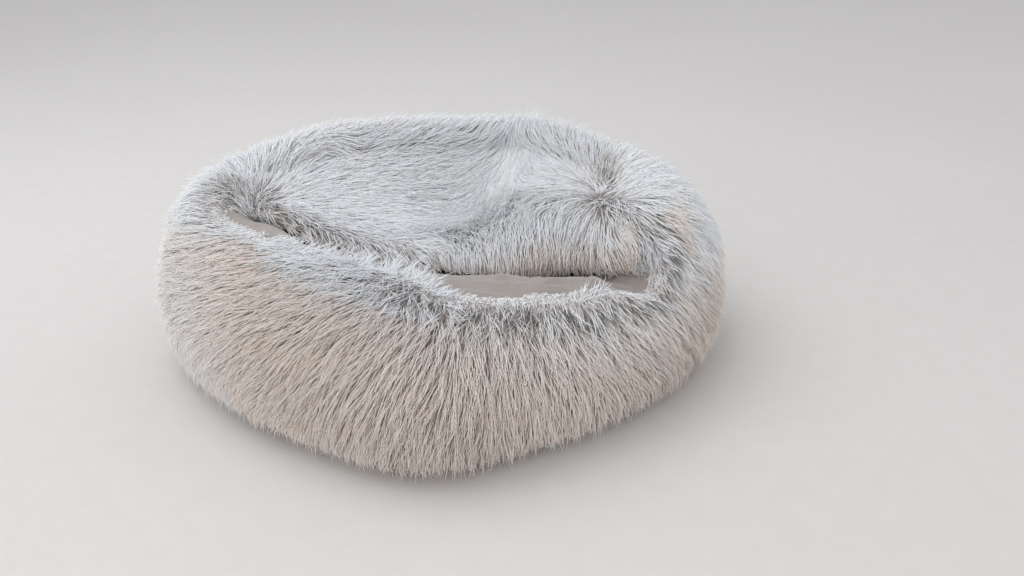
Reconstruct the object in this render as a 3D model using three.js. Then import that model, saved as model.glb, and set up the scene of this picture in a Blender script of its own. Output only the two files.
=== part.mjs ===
// A round plush cat bed with a soft hood, in millimetres, +Z up, its mouth facing -Y.
// The padded wall is a ring that has slumped a little. Its long-pile cover and its smooth lining meet in a seam along
// the lip. The hood is three layers, sewn to the back half of that lip: the canopy sags into the nest, and the flap
// in front of it lifts about the line between the two gathers where the mouth's corners are sewn down.
import * as THREE from "three";
import { mergeVertices } from "three/addons/utils/BufferGeometryUtils.js";

// Plan and heights of the padded wall
const halfWidth = 291;
const halfDepth = 254;
const rearHeight = 202;
const baseInset = 26;
const bellyHeight = 62;
const lipDrop = 45;
const footFlare = 6;

// Thickness of each layer. The pile of a fur counts as part of its cloth
const furThickness = 12;
const liningThickness = 3;
const baseClothThickness = 2;
const baseWaddingThickness = 12;
const floorThickness = 2.5;
const hoodFurThickness = 7;
const hoodWaddingThickness = 3;
const hoodLiningThickness = 1.6;

// The loose cushion: its cloth, and how far it swells over and under its seam
const cushionClothThickness = 2.5;
const cushionCrown = 36;
const cushionBelly = 13;
const cushionGap = 8;

// The piping in the lip's seam, the room that sewn pieces keep, and the room round the canopy and the flap
const pipingRadius = 2.2;
const clearance = 0.4;
const seamGap = 0.9;
const canopyGap = 1.2;
const hingeGap = 0.5;
const foldEndGap = 24;

// The slumped outline: how far the wall reaches, as a share of a true ellipse, in twelve directions from +X to +Y
const slumpShares = [1, 1.02, 1.027, 1.023, 1.025, 1.009, 0.984, 0.869, 0.856, 0.936, 0.873, 0.909];
// The nest's inside as a share of that reach, and the top of the wall as a share of the rear height
const insideShares = [0.65, 0.66, 0.66, 0.65, 0.64, 0.655, 0.68, 0.52, 0.385, 0.333, 0.48, 0.68];
const crownShares = [0.875, 0.889, 0.94, 0.94, 0.97, 0.944, 0.891, 0.792, 0.728, 0.698, 0.701, 0.779];
// Where the wall's top lies, as a share of the wall's thickness from outside
const crownInsetShare = 0.68;
// Where the lip's seam lies, from the wall's top at 0 to its inside at 1. In front it has rolled out over the top
const seamShares = [0.45, 0.55, 0.58, 0.58, 0.58, 0.5, 0.18, 0, 0.08, -0.06, -0.22, -0.3];
// The stretch of the section that is measured beside the seam, as a share of a quarter
const probeShare = 0.04;

// Heights across the hood from its left gather to its right one, as shares of the rear height
const foldShares = [0.825, 0.8, 0.75, 0.69, 0.635, 0.685, 0.815, 0.85, 0.82];
const sagShares = [0.84, 0.8, 0.74, 0.67, 0.595, 0.64, 0.79, 0.845, 0.82];
const browShares = [0.83, 0.81, 0.77, 0.725, 0.7, 0.715, 0.825, 0.845, 0.8];
const hemShares = [0.83, 0.8, 0.755, 0.715, 0.69, 0.635, 0.605, 0.605, 0.675];
// How far the brow and the hem reach to the front, as shares of the half depth
const browReachShares = [0.02, 0.06, 0.115, 0.165, 0.175, 0.17, 0.185, 0.17, 0.05];
const hemReachShares = [0.01, 0.11, 0.21, 0.29, 0.305, 0.29, 0.275, 0.231, 0.08];
// How upright the flap hangs at its hem, from 0 for level to 1 for straight down
const hangShares = [0, 0, 0, 0, 0.05, 0.3, 0.6, 0.6, 0.6];
// Where the canopy sags most, as a share of its length from the fold to the lip
const sagPlaceShare = 0.45;
// The line that the flap lifts about, as a share of the rear height
const hingeHeightShare = 0.87;

// How square-shouldered the cushion is
const cushionFullness = 2.6;

// Facets
const ringSteps = 44;
const coverSteps = 11;
const liningSteps = 7;
const pipingSides = 6;
const canopyRows = 8;
const flapColumns = 18;
const flapRows = 6;
const cushionSteps = 22;
const cushionRows = 6;

function cloth(red, green, blue) {
  return new THREE.MeshStandardMaterial({ color: new THREE.Color(red, green, blue), roughness: 0.95, metalness: 0 });
}
const longPile = cloth(0.83, 0.81, 0.79);
const shortPile = cloth(0.6, 0.54, 0.5);
const wadding = cloth(0.93, 0.93, 0.92);
const gripCloth = cloth(0.32, 0.31, 0.3);

// Heights of the layers under the wall and the cushion
const waddingBottom = baseClothThickness + clearance;
const waddingTop = waddingBottom + baseWaddingThickness;
const floorBottom = waddingTop + clearance;
const floorTop = floorBottom + floorThickness;
const hingeHeight = rearHeight * hingeHeightShare;

const fullTurn = 2 * Math.PI;
const quarterTurn = Math.PI / 2;
const { lerp, clamp, euclideanModulo } = THREE.MathUtils;

// A smooth curve from one station to the next, given the stations before and after them
function smoothly(before, from, to, after, t) {
  const slopeFrom = (to - before) / 2;
  const slopeTo = (after - from) / 2;
  const rise = to - from;
  return from + t * (slopeFrom + t * (3 * rise - 2 * slopeFrom - slopeTo + t * (slopeFrom + slopeTo - 2 * rise)));
}

// A share that changes smoothly round the bed
function around(shares, angle) {
  const count = shares.length;
  const place = euclideanModulo(angle / fullTurn, 1) * count;
  const i = Math.floor(place);
  const share = (step) => shares[(i + step + count) % count];
  return smoothly(share(-1), share(0), share(1), share(2), place - i);
}

// A share that changes smoothly from one end of a row to the other
function along(shares, s) {
  const last = shares.length - 1;
  const place = clamp(s, 0, 1) * last;
  const i = Math.min(Math.floor(place), last - 1);
  const share = (step) => shares[clamp(i + step, 0, last)];
  return smoothly(share(-1), share(0), share(1), share(2), place - i);
}

// The wall's sizes in one direction: how far its outside, inside and top are from the middle, and its height
function wallAt(angle) {
  const across = Math.hypot(halfDepth * Math.cos(angle), halfWidth * Math.sin(angle));
  const outside = ((halfWidth * halfDepth) / across) * around(slumpShares, angle);
  const inside = outside * around(insideShares, angle);
  const crown = outside - (outside - inside) * crownInsetShare;
  return { outside, inside, crown, top: rearHeight * around(crownShares, angle) };
}

// A point in one direction from the middle
function polar(angle, reach, height) {
  return new THREE.Vector3(reach * Math.cos(angle), reach * Math.sin(angle), height);
}

// A point of the wall's section, inset from its surface. Quarter 0 to 1 is the foot, 1 to 2 the outer shoulder,
// 2 to 3 the inner shoulder, and 3 to 4 the inside down to the nest's floor
function wallPoint(angle, quarter, inset) {
  const { outside, inside, crown, top } = wallAt(angle);
  const turn = (quarter % 1) * quarterTurn;
  if (quarter < 1) {
    const reach = outside - baseInset + (baseInset - inset) * Math.sin(turn);
    return polar(angle, reach, bellyHeight - (bellyHeight - waddingBottom - inset) * Math.cos(turn));
  }
  if (quarter < 2) {
    const reach = crown + (outside - crown - inset) * Math.cos(turn);
    return polar(angle, reach, bellyHeight + (top - bellyHeight - inset) * Math.sin(turn));
  }
  if (quarter < 3) {
    const reach = crown - (crown - inside - inset) * Math.sin(turn);
    return polar(angle, reach, top - lipDrop + (lipDrop - inset) * Math.cos(turn));
  }
  const down = quarter - 3;
  return polar(angle, inside + inset + down * footFlare, lerp(top - lipDrop, floorBottom, down));
}

// How far the wall's inside is from the middle at a height
function insideReachAt(angle, height) {
  const { inside, crown, top } = wallAt(angle);
  const shoulder = top - lipDrop;
  if (height < shoulder) return inside + (footFlare * (shoulder - height)) / (shoulder - floorBottom);
  const rise = Math.min((height - shoulder) / lipDrop, 1);
  return crown - (crown - inside) * Math.sqrt(1 - rise ** 2);
}

// Where the lip's seam lies on the section, and where the cloths end on both sides of its piping
const seamQuarter = (angle) => 2 + around(seamShares, angle);
function besidePiping(angle, side, count = 1) {
  const quarter = seamQuarter(angle);
  const probe = wallPoint(angle, quarter + side * probeShare, 0);
  const stretch = wallPoint(angle, quarter, 0).distanceTo(probe) / probeShare;
  return quarter + (side * count * (pipingRadius + seamGap)) / stretch;
}
const coverQuarter = (angle, v) => v * besidePiping(angle, -1);
const liningQuarter = (angle, v) => lerp(besidePiping(angle, 1), 4, v);

// A closed body from corners listed three to a triangle, turned so that its faces point out
function closedBody(corners) {
  const geometry = mergeVertices(new THREE.BufferGeometry().setFromPoints(corners));
  const positions = geometry.getAttribute("position");
  const [a, b, c] = [new THREE.Vector3(), new THREE.Vector3(), new THREE.Vector3()];
  const index = geometry.getIndex().array;
  const kept = [];
  let volume = 0;
  for (let i = 0; i < index.length; i += 3) {
    const [from, next, last] = index.slice(i, i + 3);
    if (from === next || next === last || last === from) continue;
    kept.push(from, next, last);
    a.fromBufferAttribute(positions, from);
    b.fromBufferAttribute(positions, next);
    c.fromBufferAttribute(positions, last);
    volume += a.dot(b.cross(c));
  }
  geometry.setIndex(volume < 0 ? kept.reverse() : kept);
  geometry.computeVertexNormals();
  return geometry;
}

// The two triangles of a four-sided face
const face = (a, b, c, d) => [a, b, c, a, c, d];

// The body between two surfaces, each given by u and v from 0 to 1. A ring closes on itself along u
function bodyBetween(outer, inner, columns, rows, isRing) {
  const corners = [];
  const at = (surface, i, j) => surface(isRing ? (i % columns) / columns : i / columns, j / rows);
  for (let i = 0; i < columns; i++) {
    for (let j = 0; j < rows; j++) {
      corners.push(...face(at(outer, i, j), at(outer, i + 1, j), at(outer, i + 1, j + 1), at(outer, i, j + 1)));
      corners.push(...face(at(inner, i, j), at(inner, i, j + 1), at(inner, i + 1, j + 1), at(inner, i + 1, j)));
    }
    corners.push(...face(at(outer, i + 1, 0), at(outer, i, 0), at(inner, i, 0), at(inner, i + 1, 0)));
    corners.push(...face(at(outer, i, rows), at(outer, i + 1, rows), at(inner, i + 1, rows), at(inner, i, rows)));
  }
  for (let j = 0; j < rows && !isRing; j++) {
    const end = columns;
    corners.push(...face(at(outer, 0, j), at(outer, 0, j + 1), at(inner, 0, j + 1), at(inner, 0, j)));
    corners.push(...face(at(outer, end, j + 1), at(outer, end, j), at(inner, end, j), at(inner, end, j + 1)));
  }
  return closedBody(corners);
}

// A solid ring, from the points of its section at an angle, which close on themselves
function solidRing(sectionAt) {
  const corners = [];
  for (let i = 0; i < ringSteps; i++) {
    const here = sectionAt((i / ringSteps) * fullTurn);
    const next = sectionAt((((i + 1) % ringSteps) / ringSteps) * fullTurn);
    here.forEach((point, j) => {
      const k = (j + 1) % here.length;
      corners.push(...face(point, next[j], next[k], here[k]));
    });
  }
  return closedBody(corners);
}

// Numbers from 0 to 1 in even steps
const steps = (count) => Array.from({ length: count + 1 }, (_, i) => i / count);

function piece(name, geometry, material) {
  const mesh = new THREE.Mesh(geometry, material);
  mesh.name = name;
  return mesh;
}

// A flat layer that follows the bed's outline
function flatLayer(reachAt, bottom, thickness) {
  const corners = steps(ringSteps)
    .slice(1)
    .map((u) => polar(u * fullTurn, reachAt(u * fullTurn), 0));
  const outline = new THREE.Shape(corners.map(({ x, y }) => new THREE.Vector2(x, y)));
  return new THREE.ExtrudeGeometry(outline, { depth: thickness, bevelEnabled: false }).translate(0, 0, bottom);
}

// The flat layers under the wall: grip cloth, wadding, and the smooth floor of the nest
function buildBase() {
  const footReach = (angle) => wallAt(angle).outside - baseInset;
  const waddingReach = (angle) => footReach(angle) - clearance;
  const nestReach = (angle) => wallAt(angle).inside + footFlare - clearance;
  const base = new THREE.Group();
  base.add(
    piece("base_cloth", flatLayer(footReach, 0, baseClothThickness), gripCloth),
    piece("base_wadding", flatLayer(waddingReach, waddingBottom, baseWaddingThickness), wadding),
    piece("nest_floor", flatLayer(nestReach, floorBottom, floorThickness), shortPile),
  );
  return base;
}

// A cloth of the wall, between its surface and its thickness, over the part of the section that quarterAt gives
function wallCloth(quarterAt, thickness, rows) {
  const side = (inset) => (u, v) => wallPoint(u * fullTurn, quarterAt(u * fullTurn, v), inset);
  return bodyBetween(side(0), side(thickness), ringSteps, rows, true);
}

// The filling follows the cover's inner side, passes under the piping and follows the lining's inner side
function fillingSection(angle) {
  const underCover = steps(coverSteps).map((v) =>
    wallPoint(angle, coverQuarter(angle, v), furThickness + clearance),
  );
  const underLining = steps(liningSteps).map((v) =>
    wallPoint(angle, liningQuarter(angle, v), liningThickness + clearance),
  );
  const section = [...underCover, ...underLining];
  section.forEach((point) => (point.z = Math.max(point.z, floorBottom)));
  return section;
}

// The piping lies in the seam, half sunk between the cover and the lining
function pipingSection(angle) {
  const middle = wallPoint(angle, seamQuarter(angle), pipingRadius / 2);
  return steps(pipingSides)
    .slice(1)
    .map((v) => {
      const turn = v * fullTurn;
      return polar(angle, pipingRadius * Math.cos(turn), pipingRadius * Math.sin(turn)).add(middle);
    });
}

function buildWall() {
  const wall = new THREE.Group();
  wall.add(
    piece("wall_fur", wallCloth(coverQuarter, furThickness, coverSteps), longPile),
    piece("wall_filling", solidRing(fillingSection), wadding),
    piece("wall_lining", wallCloth(liningQuarter, liningThickness, liningSteps), shortPile),
    piece("lip_piping", solidRing(pipingSection), shortPile),
  );
  return wall;
}

// The three layers of the hood, by how deep each lies under the top of the fur
const hoodWaddingDepth = hoodFurThickness + clearance;
const hoodLiningDepth = hoodWaddingDepth + hoodWaddingThickness + clearance;
const hoodLayers = [
  { name: "fur", depth: 0, thickness: hoodFurThickness, material: longPile },
  { name: "wadding", depth: hoodWaddingDepth, thickness: hoodWaddingThickness, material: wadding },
  { name: "lining", depth: hoodLiningDepth, thickness: hoodLiningThickness, material: shortPile },
];

// Where the canopy is sewn on, just inside the lip and parallel to the wall, at a depth under the top of its fur
function rimPoint(angle, depth) {
  const height = wallPoint(angle, besidePiping(angle, 1, 2), 0).z - depth;
  return polar(angle, insideReachAt(angle, height) - canopyGap, height);
}

// The gathers at the mouth's corners, and how far across from the left one a place is, as a share of the way
const leftGather = rimPoint(fullTurn / 2, 0).x;
const rightGather = rimPoint(0, 0).x;
const acrossShare = (x) => (x - leftGather) / (rightGather - leftGather);
// The fold keeps clear of the gathers, and so do the canopy and the flap that meet there
const foldPlace = (share) => lerp(leftGather + foldEndGap, rightGather - foldEndGap, share);

// The canopy's columns stand over the wall's own facets and run from the fold back to the lip
const canopyColumns = ringSteps / 2 - 2;
function canopySide(depth) {
  return (u, v) => {
    const angle = (lerp(1, 1 + canopyColumns, u) / ringSteps) * fullTurn;
    const rim = rimPoint(angle, depth);
    const share = acrossShare(rimPoint(angle, 0).x);
    const x = foldPlace(share);
    const fold = new THREE.Vector3(x, 0, rearHeight * along(foldShares, acrossShare(x)) - depth);
    const sag = rearHeight * along(sagShares, share) - depth;
    const point = fold.clone().lerp(rim, v);
    const bend = sag - lerp(fold.z, rim.z, sagPlaceShare);
    point.z += (bend * v * (1 - v)) / (sagPlaceShare * (1 - sagPlaceShare));
    return point;
  };
}

function buildCanopy() {
  const canopy = new THREE.Group();
  for (const { name, depth, thickness, material } of hoodLayers) {
    const body = bodyBetween(canopySide(depth), canopySide(depth + thickness), canopyColumns, canopyRows, false);
    canopy.add(piece(`canopy_${name}`, body, material));
  }
  return canopy;
}

// The flap curls from the fold over its brow down to its hem, and turns its layers upright where it hangs
function flapSide(depth) {
  return (u, v) => {
    const x = foldPlace(u);
    const share = acrossShare(x);
    const fold = new THREE.Vector3(x, -hingeGap, rearHeight * along(foldShares, share));
    const brow = new THREE.Vector3(x, -halfDepth * along(browReachShares, share), rearHeight * along(browShares, share));
    const hem = new THREE.Vector3(x, -halfDepth * along(hemReachShares, share), rearHeight * along(hemShares, share));
    const point = new THREE.QuadraticBezierCurve3(fold, brow, hem).getPoint(v);
    const turn = v * along(hangShares, share) * quarterTurn;
    point.y += depth * Math.sin(turn);
    point.z -= depth * Math.cos(turn) + hingeHeight;
    return point;
  };
}

// The flap's group stands on the line that the flap lifts about
function buildFlap() {
  const flap = new THREE.Group();
  flap.position.z = hingeHeight;
  for (const { name, depth, thickness, material } of hoodLayers) {
    const body = bodyBetween(flapSide(depth), flapSide(depth + thickness), flapColumns, flapRows, false);
    flap.add(piece(`hood_${name}`, body, material));
  }
  return flap;
}

// A side of the cushion, over its first rows, which lie closer together towards its edge where it curves most
function cushionSide(swell, offset, rows) {
  return (u, v) => {
    const angle = u * fullTurn;
    const out = Math.sqrt((v * rows) / cushionRows);
    const reach = (wallAt(angle).inside - cushionGap) * out;
    return polar(angle, reach, swell * (1 - out ** cushionFullness) + offset);
  };
}

// A cloth of the cushion, swelling up or, with a swell below zero, down
function cushionCloth(swell) {
  const inner = (Math.sign(swell) * clearance) / 2;
  const outer = inner + Math.sign(swell) * cushionClothThickness;
  const sides = [inner, outer].map((offset) => cushionSide(swell, offset, cushionRows));
  return bodyBetween(...sides, cushionSteps, cushionRows, true);
}

// The filling stops a row short of the seam, where the two cloths meet
function cushionFilling() {
  const rows = cushionRows - 1;
  const top = cushionSide(cushionCrown, -clearance / 2, rows);
  const bottom = cushionSide(-cushionBelly, clearance / 2, rows);
  return bodyBetween(top, bottom, cushionSteps, rows, true);
}

// The cushion's group stands on the cushion's seam
function buildCushion() {
  const cushion = new THREE.Group();
  cushion.position.z = floorTop + clearance + cushionClothThickness + clearance / 2 + cushionBelly;
  cushion.add(
    piece("cushion_top_cloth", cushionCloth(cushionCrown), shortPile),
    piece("cushion_bottom_cloth", cushionCloth(-cushionBelly), shortPile),
    piece("cushion_filling", cushionFilling(), wadding),
  );
  return cushion;
}

// The bed stands with the middle of its outline over the origin
const bed = new THREE.Group();
bed.add(buildBase(), buildWall(), buildCanopy(), buildFlap(), buildCushion());
const middle = new THREE.Box3().setFromObject(bed, true).getCenter(new THREE.Vector3());
bed.position.set(-middle.x, -middle.y, 0);

export default bed;
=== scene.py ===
# %% [markdown]
# # A plush cat bed with a soft hood
# The bed is sewn from two cloths: a long, pale, shaggy pile outside, and a short smooth plush inside.
# Nearly all that anyone sees of it is the long pile, so most of this lesson is about growing fur that
# lies the way a hand has stroked it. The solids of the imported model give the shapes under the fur.

# %% Load the frame
import math
from functools import partial

import bmesh
import bpy
import numpy as np
from mathutils import Matrix, Vector, noise
from mathutils.bvhtree import BVHTree
from mathutils.kdtree import KDTree


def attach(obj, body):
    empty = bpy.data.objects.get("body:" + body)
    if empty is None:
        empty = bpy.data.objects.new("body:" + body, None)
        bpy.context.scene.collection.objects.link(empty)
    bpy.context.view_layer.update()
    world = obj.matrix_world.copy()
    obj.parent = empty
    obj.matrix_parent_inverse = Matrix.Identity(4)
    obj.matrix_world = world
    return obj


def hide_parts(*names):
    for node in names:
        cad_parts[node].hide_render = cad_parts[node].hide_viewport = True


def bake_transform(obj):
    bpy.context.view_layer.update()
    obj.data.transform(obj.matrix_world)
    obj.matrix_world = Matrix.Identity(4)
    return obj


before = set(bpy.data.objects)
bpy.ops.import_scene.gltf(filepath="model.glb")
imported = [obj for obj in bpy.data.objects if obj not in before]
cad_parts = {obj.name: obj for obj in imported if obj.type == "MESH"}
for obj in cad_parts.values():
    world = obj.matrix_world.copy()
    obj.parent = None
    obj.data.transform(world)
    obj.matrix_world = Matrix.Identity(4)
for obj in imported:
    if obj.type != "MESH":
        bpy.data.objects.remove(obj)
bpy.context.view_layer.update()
MM = 0.001
print("solids:", ", ".join(sorted(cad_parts)))

# %% [markdown]
# ## The camera
# The photograph was taken standing, looking down at about 27 degrees from 0.85 m away, with the phone
# turned by about one degree. The lens's angle comes from the lines between the floor's planks, and
# the camera's place was fitted beforehand to the bed's outline in the photograph.

# %% Camera
CAMERA_PLACE = Vector((73.6, -780.0, 463.9)) * MM
IMAGE_WIDTH = 1024
FOCAL_PIXELS = 800
HORIZON_PIXELS = 414  # the horizon is this far above the middle of the image
LOOK_DOWN = math.atan(HORIZON_PIXELS / FOCAL_PIXELS)
ROLL = math.radians(1.06)
SENSOR_WIDTH = 36


def put(name, data):
    """A new object in the scene."""
    made = bpy.data.objects.new(name, data)
    bpy.context.scene.collection.objects.link(made)
    return made


def make_camera():
    camera = put("camera", bpy.data.cameras.new("camera"))
    camera.data.sensor_width = SENSOR_WIDTH
    camera.data.lens = FOCAL_PIXELS * SENSOR_WIDTH / IMAGE_WIDTH
    camera.data.clip_start = 0.01
    ahead = Vector((0, math.cos(LOOK_DOWN), -math.sin(LOOK_DOWN)))
    level = Vector((1, 0, 0))
    upward = level.cross(ahead)
    right = math.cos(ROLL) * level - math.sin(ROLL) * upward
    up = math.sin(ROLL) * level + math.cos(ROLL) * upward
    turn = Matrix((right, up, -ahead)).transposed()
    camera.matrix_world = Matrix.Translation(CAMERA_PLACE) @ turn.to_4x4()
    bpy.context.scene.camera = camera
    return camera


camera = make_camera()
print("camera at", [round(c, 3) for c in camera.location], "lens", round(camera.data.lens, 2), "mm")

# %% [markdown]
# ## Light and floor
# Soft daylight from above and behind lights the top, and the front gets what the room gives back.
# Two large area lamps and a pale world do that, and a plain pale floor takes the shadow. A picture of
# a room could light the bed as well, but a lamp can be placed, read and changed on its own.

# %% Light and floor
LIT_PLACE = Vector((0, 0, 0.1))


def make_lamp(name, place, size, power, color):
    """A square area lamp that looks at the bed."""
    lamp = put(name, bpy.data.lights.new(name, "AREA"))
    lamp.data.shape = "SQUARE"
    lamp.data.size = size
    lamp.data.energy = power
    lamp.data.color = color
    lamp.location = place
    lamp.rotation_euler = (LIT_PLACE - lamp.location).to_track_quat("-Z", "Y").to_euler()
    print("lamp", name, "of", power, "W")


make_lamp("window", (-0.75, 0.1, 2.0), size=1.6, power=19, color=(0.94, 0.97, 1.0))
make_lamp("room", (-0.5, -1.9, 1.2), size=2.0, power=11, color=(1.0, 0.95, 0.89))

scene = bpy.context.scene
scene.view_settings.view_transform = "Standard"
world = bpy.data.worlds.new("room")
scene.world = world
world.use_nodes = True
background = world.node_tree.nodes["Background"]
background.inputs["Color"].default_value = (0.98, 0.98, 1.0, 1)
background.inputs["Strength"].default_value = 0.8

# %% [markdown]
# ## A short way to write node trees
# Both materials and Geometry Nodes are built in code here. One small helper adds a node, sets its
# options and fills its inputs, so that each tree reads as a list of what it does.

# %% Helper for node trees
def add(tree, kind, inputs=None, **options):
    """Add a node. An input may be a plain value, or another node's output to link from."""
    node = tree.nodes.new(kind)
    for name, value in options.items():
        setattr(node, name, value)
    for name, value in (inputs or {}).items():
        socket = node.inputs[name]
        if isinstance(value, bpy.types.NodeSocket):
            tree.links.new(value, socket)
        else:
            socket.default_value = value
    return node


def math_node(tree, operation, a, b=0.0, c=None, clamp=False):
    inputs = {0: a, 1: b} if c is None else {0: a, 1: b, 2: c}
    return add(tree, "ShaderNodeMath", inputs, operation=operation, use_clamp=clamp).outputs[0]


def vector_node(tree, operation, a, b=None, scale=None):
    inputs = {0: a}
    if b is not None:
        inputs[1] = b
    if scale is not None:
        inputs["Scale"] = scale
    node = add(tree, "ShaderNodeVectorMath", inputs, operation=operation)
    return node.outputs["Value"] if operation in ("DOT_PRODUCT", "LENGTH") else node.outputs["Vector"]


def new_material(name, finish):
    """A material with one shader. The finish fills that shader's plain inputs."""
    material = bpy.data.materials.new(name)
    material.use_nodes = True
    tree = material.node_tree
    tree.nodes.clear()
    surface = add(tree, "ShaderNodeBsdfPrincipled", finish)
    add(tree, "ShaderNodeOutputMaterial", {"Surface": surface.outputs[0]})
    return material, tree, surface


def color_ramp(tree, factor, stops):
    """A colour ramp. Each stop is a place from 0 to 1 and a linear colour."""
    ramp = add(tree, "ShaderNodeValToRGB", {"Fac": factor})
    elements = ramp.color_ramp.elements
    while len(elements) < len(stops):
        elements.new(0.5)
    for element, (place, color) in zip(elements, stops):
        element.position = place
        element.color = (*color, 1)
    return ramp.outputs["Color"]


# %% [markdown]
# ## Finishes
# Each hair of the long pile is dark at its root, beige along its middle and white at its tip. That is
# what makes combed fur look soft and parted fur look dark. A picture of fur laid over the bed would
# stay flat where the pile parts, so the colour runs along each hair, which also has its own small
# shift in tone. Both come from the hair's own map: u is its tone and v goes from root to tip. Both
# also carry painted light and shade: u is whiter on the lit top and beiger in shade, and v is pushed
# towards the dark root where shade is painted. The short plush is one colour with a faint nap and a
# soft sheen.

# %% Long pile
HAIR_MAP = "OFBake"
BEIGE_HAIR = [
    (0.0, (0.19, 0.17, 0.157)),
    (0.2, (0.52, 0.455, 0.405)),
    (0.45, (0.79, 0.68, 0.595)),
    (0.8, (0.89, 0.8, 0.725)),
    (1.0, (0.94, 0.885, 0.83)),
]
WHITE_HAIR = [
    (0.0, (0.18, 0.17, 0.17)),
    (0.14, (0.62, 0.6, 0.6)),
    (0.4, (0.89, 0.92, 0.96)),
    (0.8, (0.91, 0.95, 0.99)),
    (1.0, (0.93, 0.97, 1.0)),
]


def make_hair_material():
    finish = {"Roughness": 0.62, "Specular IOR Level": 0.3}
    finish |= {"Sheen Weight": 0.25, "Sheen Roughness": 0.5}
    material, tree, surface = new_material("long_pile", finish)
    uv = add(tree, "ShaderNodeUVMap", uv_map=HAIR_MAP)
    place = add(tree, "ShaderNodeSeparateXYZ", {"Vector": uv.outputs["UV"]})
    tone, along = place.outputs["X"], place.outputs["Y"]
    ends = {6: color_ramp(tree, along, BEIGE_HAIR), 7: color_ramp(tree, along, WHITE_HAIR)}
    mix = add(tree, "ShaderNodeMix", {"Factor": tone, **ends}, data_type="RGBA")
    tree.links.new(mix.outputs[2], surface.inputs["Base Color"])
    return material


hair_material = make_hair_material()


# %% Backing, plush, the underside's cloth and the floor
def dress(tree, surface, color, height, strength, distance):
    """Give a cloth its colour, and a relief that follows a height."""
    relief = add(tree, "ShaderNodeBump", {"Height": height, "Strength": strength, "Distance": distance})
    tree.links.new(color, surface.inputs["Base Color"])
    tree.links.new(relief.outputs[0], surface.inputs["Normal"])


def speckled(name, dark, light, grain, bump, roughness=0.9, sheen=0.0):
    """A cloth whose colour and relief come from two sizes of soft noise."""
    finish = {"Roughness": roughness, "Specular IOR Level": 0.2}
    finish |= {"Sheen Weight": sheen, "Sheen Roughness": 0.4}
    material, tree, surface = new_material(name, finish)
    place = add(tree, "ShaderNodeTexCoord").outputs["Object"]
    inputs = {"Vector": place, "Scale": grain, "Detail": 4.0, "Roughness": 0.6}
    fine = add(tree, "ShaderNodeTexNoise", inputs).outputs["Fac"]
    inputs = {"Vector": place, "Scale": grain / 30, "Detail": 3.0}
    broad = add(tree, "ShaderNodeTexNoise", inputs).outputs["Fac"]
    halved = math_node(tree, "MULTIPLY", math_node(tree, "ADD", fine, broad), 0.5)
    dress(tree, surface, color_ramp(tree, halved, [(0.35, dark), (0.65, light)]), fine, bump, 1 * MM)
    return material


backing_material = speckled("pile_backing", (0.55, 0.49, 0.46), (0.8, 0.75, 0.72), grain=900, bump=0.8)
PLUSH_COLORS = (0.26, 0.232, 0.218), (0.34, 0.308, 0.292)
plush_material = speckled("short_plush", *PLUSH_COLORS, grain=1500, bump=0.5, sheen=0.5)


def make_woven_material():
    """Plain weave: two sets of threads that cross, over and under in turn."""
    material, tree, surface = new_material("grip_cloth", {"Roughness": 0.85})
    place = add(tree, "ShaderNodeTexCoord").outputs["Object"]
    threads = {"Vector": place, "Scale": 260.0}
    weft = add(tree, "ShaderNodeTexWave", threads, bands_direction="X").outputs["Fac"]
    warp = add(tree, "ShaderNodeTexWave", threads, bands_direction="Y").outputs["Fac"]
    weave = math_node(tree, "MULTIPLY", weft, warp)
    color = color_ramp(tree, weave, [(0.0, (0.05, 0.047, 0.045)), (1.0, (0.12, 0.113, 0.108))])
    dress(tree, surface, color, weave, 0.5, 0.5 * MM)
    return material


woven_material = make_woven_material()
FLOOR_COLORS = (0.6, 0.585, 0.57), (0.63, 0.615, 0.6)
floor_material = speckled("floor_paint", *FLOOR_COLORS, grain=40, bump=0.0, roughness=0.6)


FLOOR_REACH = 6


def make_floor():
    mesh = bpy.data.meshes.new("floor")
    corners = [(-1, -1), (1, -1), (1, 1), (-1, 1)]
    mesh.from_pydata([(x * FLOOR_REACH, y * FLOOR_REACH, 0) for x, y in corners], [], [(0, 1, 2, 3)])
    mesh.materials.append(floor_material)
    put("floor", mesh)


make_floor()
finishes = (hair_material, backing_material, plush_material, woven_material, floor_material)
print("materials:", ", ".join(material.name for material in finishes))

# %% [markdown]
# ## Soft bodies from the solids
# The real wall and hood are cloth over stuffing, and they sag. They could be modelled by hand or
# swollen by a simulation, but the solids already sag as the bed does, and either way would lose that.
# The solids are faceted and lie in layers with small gaps. A voxel remesh of all layers together
# closes the gaps, and smoothing takes the facets away, which leaves one soft stuffed body. Its faces
# are then shared out: those nearest the fur's solid carry the long pile, the others are plush.

# %% Pieces and plain meshes
def place_mesh(name, mesh, *materials):
    """A piece with these materials and no others."""
    mesh.materials.clear()
    for material in materials:
        mesh.materials.append(material)
    return put(name, mesh)


def evaluated_mesh(piece, name):
    """The piece's mesh with its modifiers applied, as a new plain mesh."""
    graph = bpy.context.evaluated_depsgraph_get()
    graph.update()
    mesh = bpy.data.meshes.new_from_object(piece.evaluated_get(graph))
    mesh.name = name
    return mesh


# %% A soft body from several solids
def joined_copy(node_names):
    """One mesh with the merged solids of several CAD nodes."""
    body = bmesh.new()
    for node_name in node_names:
        body.from_mesh(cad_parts[node_name].data)
    bmesh.ops.remove_doubles(body, verts=body.verts, dist=0.01 * MM)
    mesh = bpy.data.meshes.new("joined")
    body.to_mesh(mesh)
    body.free()
    return mesh


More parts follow.
